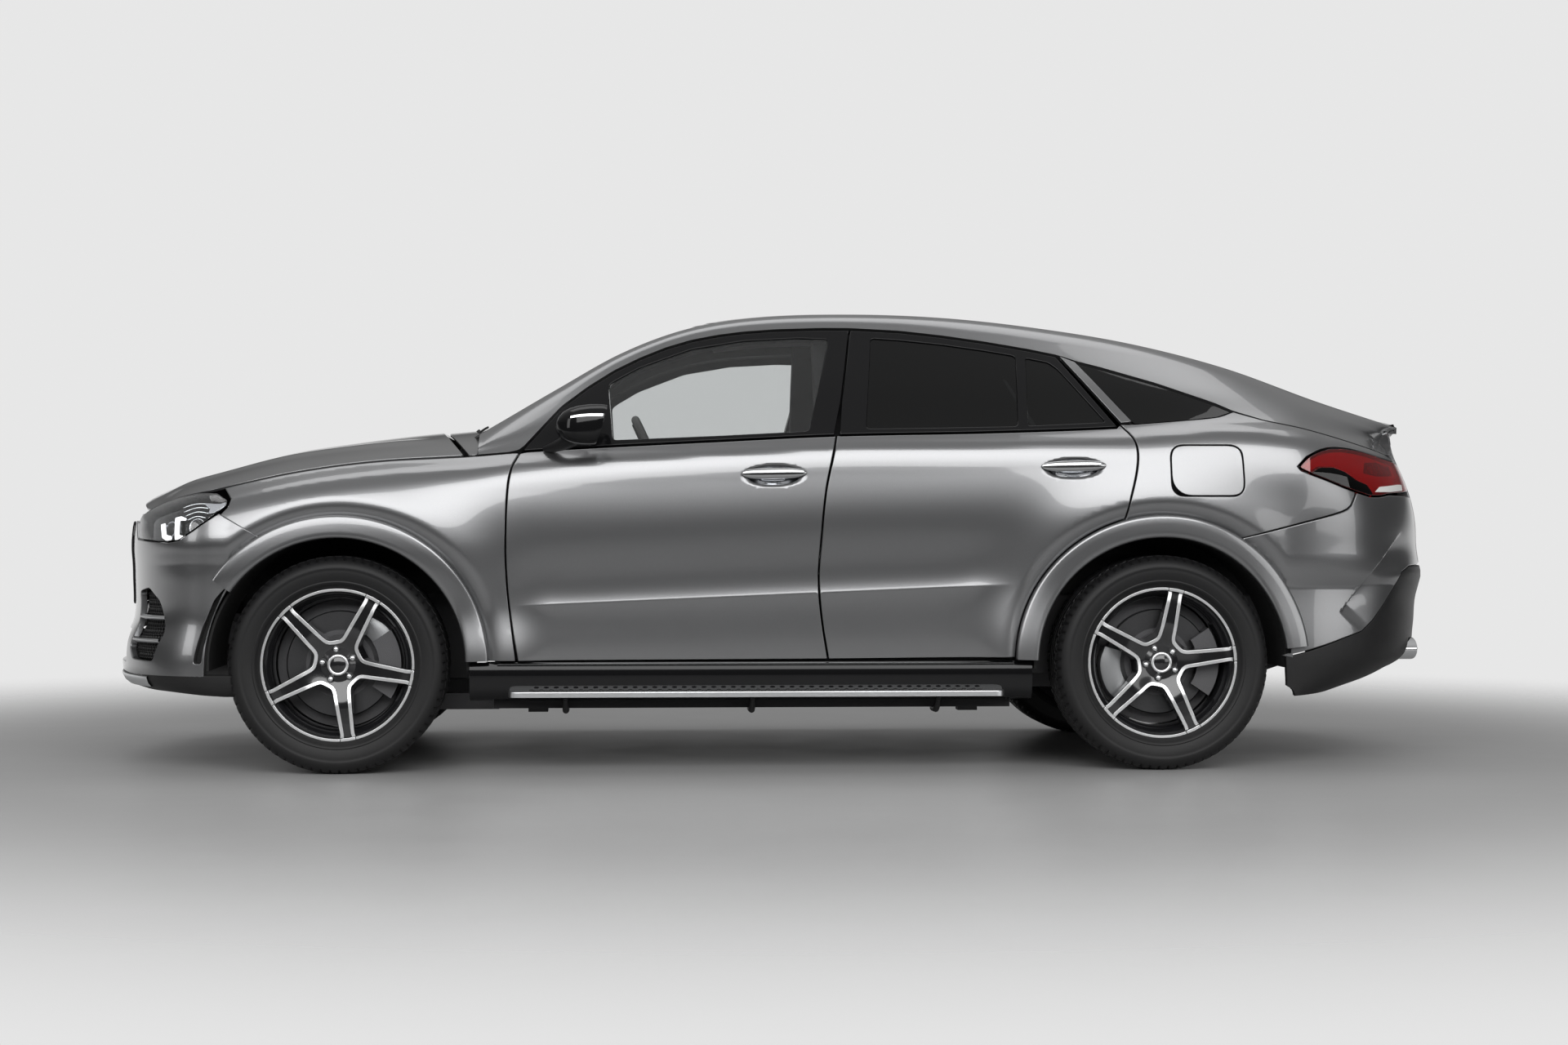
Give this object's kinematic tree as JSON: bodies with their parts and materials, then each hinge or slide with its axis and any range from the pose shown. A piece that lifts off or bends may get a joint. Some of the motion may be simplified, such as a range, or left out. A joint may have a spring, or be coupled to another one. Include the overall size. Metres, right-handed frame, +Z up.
{
  "type": "coupe sport utility vehicle",
  "caption": "Coupe-roofed sport utility vehicle with hollow cabin, opening side doors, hood, liftgate and fuel flap, steered front wheels and free-turning wheels.",
  "frame": {"origin": "middle of the footprint, on the floor under the tyres", "axes": "+X to the nose, +Y to the left side, +Z up"},
  "size_m": [4.939, 2.1514, 1.6885],
  "materials": {
    "paint": "satin metallic grey paint",
    "clear_glass": "lightly tinted glass",
    "dark_glass": "dark privacy glass",
    "black_plastic": "grained black",
    "gloss_black": "gloss black",
    "rubber": "matte",
    "lamp": "clear lamp cover",
    "red_lamp": "red lamp cover",
    "iron": "bare and coated metal",
    "steel": "bare steel",
    "chrome": "polished",
    "aluminium": "brushed and machined",
    "plate": "blank white",
    "leather": "dark hide",
    "tyre": "matte rubber"
  },
  "bodies": {
    "body": {"floor_pan": "iron", "hinge_pins": "steel", "body_sides": "paint", "roof_panel": "paint", "windscreen": "clear_glass", "quarter_glass": "dark_glass", "front_fenders": "paint", "arch_flares": "paint", "wheel_liners": "black_plastic", "cowl": "black_plastic", "front_bumper": "paint", "grille": "black_plastic", "head_lamps": "lamp", "rear_bumper": "paint", "rear_valance": "black_plastic", "rear_beam": "iron", "plate_holder": "plate", "exhaust": "chrome", "tail_lamps": "red_lamp", "sill_covers": "black_plastic", "running_boards": "aluminium", "board_brackets": "black_plastic", "jack_pads": "rubber", "engine_block": "iron", "front_subframe": "iron", "rear_subframe": "iron", "dashboard": "black_plastic", "seats": "leather"},
    "front_door_left": {"front_door_left": "paint", "front_glass_left": "clear_glass", "front_handle_left": "chrome", "mirror_left": "gloss_black"},
    "rear_door_left": {"rear_door_left": "paint", "rear_glass_left": "dark_glass", "rear_handle_left": "chrome"},
    "front_knuckle_left": {"front_knuckle_left": "iron"},
    "front_wheel_left": {"front_rim_left": "aluminium", "front_tyre_left": "tyre"},
    "rear_wheel_left": {"rear_rim_left": "aluminium", "rear_tyre_left": "tyre"},
    "front_door_right": {"front_door_right": "paint", "front_glass_right": "clear_glass", "front_handle_right": "chrome", "mirror_right": "gloss_black"},
    "rear_door_right": {"rear_door_right": "paint", "rear_glass_right": "dark_glass", "rear_handle_right": "chrome"},
    "front_knuckle_right": {"front_knuckle_right": "iron"},
    "front_wheel_right": {"front_rim_right": "aluminium", "front_tyre_right": "tyre"},
    "rear_wheel_right": {"rear_rim_right": "aluminium", "rear_tyre_right": "tyre"},
    "hood": {"hood": "paint"},
    "liftgate": {"liftgate": "paint", "rear_window": "dark_glass"},
    "fuel_flap": {"fuel_flap": "paint"},
    "steering_wheel": {"steering_wheel": "black_plastic"}
  },
  "joints": [
    {"name": "front_door_left_hinge", "type": "hinge", "parent": "body", "child": "front_door_left", "pos_m": [0.9335, 0.94096, 0.87], "axis": [0, 0, -1], "range_deg": [0, 70]},
    {"name": "rear_door_left_hinge", "type": "hinge", "parent": "body", "child": "rear_door_left", "pos_m": [-0.2025, 0.93642, 0.87], "axis": [0, 0, -1], "range_deg": [0, 70]},
    {"name": "front_left_steer", "type": "hinge", "parent": "body", "child": "front_knuckle_left", "pos_m": [1.5975, 0.7755, 0.385], "axis": [0, 0, 1], "range_deg": [-34, 34]},
    {"name": "front_left_spin", "type": "hinge", "parent": "front_knuckle_left", "child": "front_wheel_left", "pos_m": [1.5975, 0.8375, 0.385], "axis": [0, 1, 0], "continuous": true},
    {"name": "rear_left_spin", "type": "hinge", "parent": "body", "child": "rear_wheel_left", "pos_m": [-1.3375, 0.845, 0.385], "axis": [0, 1, 0], "continuous": true},
    {"name": "front_door_right_hinge", "type": "hinge", "parent": "body", "child": "front_door_right", "pos_m": [0.9335, -0.94096, 0.87], "axis": [0, 0, 1], "range_deg": [0, 70]},
    {"name": "rear_door_right_hinge", "type": "hinge", "parent": "body", "child": "rear_door_right", "pos_m": [-0.2025, -0.93642, 0.87], "axis": [0, 0, 1], "range_deg": [0, 70]},
    {"name": "front_right_steer", "type": "hinge", "parent": "body", "child": "front_knuckle_right", "pos_m": [1.5975, -0.7755, 0.385], "axis": [0, 0, 1], "range_deg": [-34, 34]},
    {"name": "front_right_spin", "type": "hinge", "parent": "front_knuckle_right", "child": "front_wheel_right", "pos_m": [1.5975, -0.8375, 0.385], "axis": [0, 1, 0], "continuous": true},
    {"name": "rear_right_spin", "type": "hinge", "parent": "body", "child": "rear_wheel_right", "pos_m": [-1.3375, -0.845, 0.385], "axis": [0, 1, 0], "continuous": true},
    {"name": "hood_hinge", "type": "hinge", "parent": "body", "child": "hood", "pos_m": [1.1275, 0, 1.105], "axis": [0, -1, 0], "range_deg": [0, 50]},
    {"name": "liftgate_hinge", "type": "hinge", "parent": "body", "child": "liftgate", "pos_m": [-1.3685, 0, 1.538], "axis": [0, 1, 0], "range_deg": [0, 78]},
    {"name": "fuel_flap_hinge", "type": "hinge", "parent": "body", "child": "fuel_flap", "pos_m": [-1.3965, 0.9685, 1.012], "axis": [0, 0.163, -0.9866], "range_deg": [0, 85]},
    {"name": "steering_wheel_turn", "type": "hinge", "parent": "body", "child": "steering_wheel", "pos_m": [0.4775, 0.37, 1.116], "axis": [-0.9135, 0, 0.4067], "range_deg": [-476, 476]}
  ],
  "couplings": [
    {"joint": "front_right_steer", "follows": "front_left_steer", "ratio": 1},
    {"joint": "steering_wheel_turn", "follows": "front_left_steer", "ratio": 14}
  ]
}
